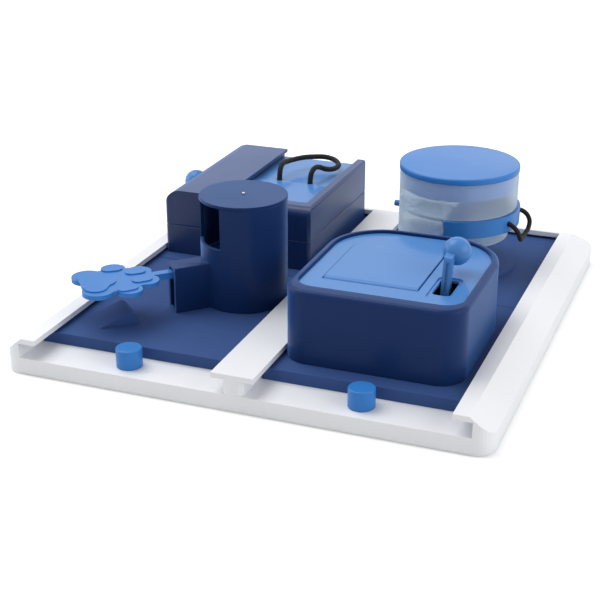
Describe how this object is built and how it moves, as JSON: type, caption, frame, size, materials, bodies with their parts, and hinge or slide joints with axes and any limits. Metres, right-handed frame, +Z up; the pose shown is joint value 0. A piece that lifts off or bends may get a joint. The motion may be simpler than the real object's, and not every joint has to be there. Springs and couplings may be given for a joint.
{
  "type": "dog puzzle feeder toy",
  "caption": "Board with grooved rails that holds four treat modules: paw lever tower, flap box with ball lever, box with sliding lid and drawer, and round drum with a pull-out tray.",
  "frame": {"origin": "centre of the board on the surface that it stands on", "axes": "+X along the front edge to the right, +Y from the front edge to the back, +Z up"},
  "size_m": [0.32, 0.333, 0.0953],
  "materials": {
    "white_plastic": "satin moulded plastic with a fine grain",
    "navy_plastic": "satin moulded plastic",
    "sky_plastic": "satin moulded plastic",
    "blue_plastic": "satin moulded plastic",
    "frosted_plastic": "translucent frosted plastic",
    "black_cord": "braided cord",
    "steel": "plain steel",
    "rubber": "matte rubber"
  },
  "bodies": {
    "board": {"base_tray": "white_plastic", "floor_ribs": "white_plastic", "rubber_feet": "rubber", "tower_plate": "navy_plastic", "tower_shell": "navy_plastic", "tower_cap": "navy_plastic", "lever_pin": "steel", "tower_screws": "steel", "flap_box_plate": "navy_plastic", "flap_box_shell": "navy_plastic", "flap_box_top": "sky_plastic", "flap_pin": "steel", "ball_lever_pin": "steel", "treat_cup": "navy_plastic", "flap_box_screws": "steel", "drawer_box_plate": "navy_plastic", "drawer_box_base": "navy_plastic", "drawer_box_cover": "navy_plastic", "drawer_box_screws": "steel", "drum_plate": "navy_plastic", "drum_body": "frosted_plastic", "drum_screws": "steel"},
    "peg_left": {"lock_peg_left": "blue_plastic"},
    "peg_right": {"lock_peg_right": "blue_plastic"},
    "paw": {"paw_lever": "blue_plastic"},
    "platform": {"lift_platform": "blue_plastic"},
    "flap": {"flap": "sky_plastic"},
    "ball_lever": {"ball_lever": "sky_plastic"},
    "lid": {"sliding_lid": "sky_plastic", "lid_rope": "black_cord", "lid_rope_knots": "black_cord"},
    "drawer": {"side_drawer": "sky_plastic", "drawer_knob": "sky_plastic"},
    "drum_lid": {"drum_lid": "blue_plastic"},
    "tray": {"drum_tray": "blue_plastic", "tray_rope": "black_cord", "tray_rope_knots": "black_cord"}
  },
  "joints": [
    {"name": "peg_left_lift", "type": "slide", "parent": "board", "child": "peg_left", "axis": [0, 0, 1], "range_m": [0, 0.012]},
    {"name": "peg_right_lift", "type": "slide", "parent": "board", "child": "peg_right", "axis": [0, 0, 1], "range_m": [0, 0.012]},
    {"name": "paw_press", "type": "hinge", "parent": "board", "child": "paw", "pos_m": [-0.07631, -0.07116, 0.046], "axis": [0.7071, -0.7071, 0], "range_deg": [0, 15]},
    {"name": "platform_lift", "type": "slide", "parent": "board", "child": "platform", "axis": [0, 0, 1], "range_m": [0, 0.0117]},
    {"name": "ball_lever_swing", "type": "hinge", "parent": "board", "child": "ball_lever", "pos_m": [0.1073, -0.095, 0.04], "axis": [1, 0, 0], "range_deg": [0, 40]},
    {"name": "flap_open", "type": "hinge", "parent": "board", "child": "flap", "pos_m": [0.06248, -0.0921, 0.0635], "axis": [1, 0, 0], "range_deg": [0, 63.2]},
    {"name": "lid_slide", "type": "slide", "parent": "board", "child": "lid", "axis": [0, 1, 0], "range_m": [0, 0.05]},
    {"name": "drawer_slide", "type": "slide", "parent": "board", "child": "drawer", "axis": [-1, 0, 0], "range_m": [0, 0.032]},
    {"name": "drum_lid_lift", "type": "slide", "parent": "board", "child": "drum_lid", "axis": [0, 0, 1], "range_m": [0, 0.02]},
    {"name": "tray_slide", "type": "slide", "parent": "board", "child": "tray", "axis": [1, 0, 0], "range_m": [0, 0.032]}
  ],
  "couplings": [
    {"joint": "platform_lift", "follows": "paw_press", "m_per_rad": 0.04457},
    {"joint": "flap_open", "follows": "ball_lever_swing", "ratio": 1.58}
  ]
}
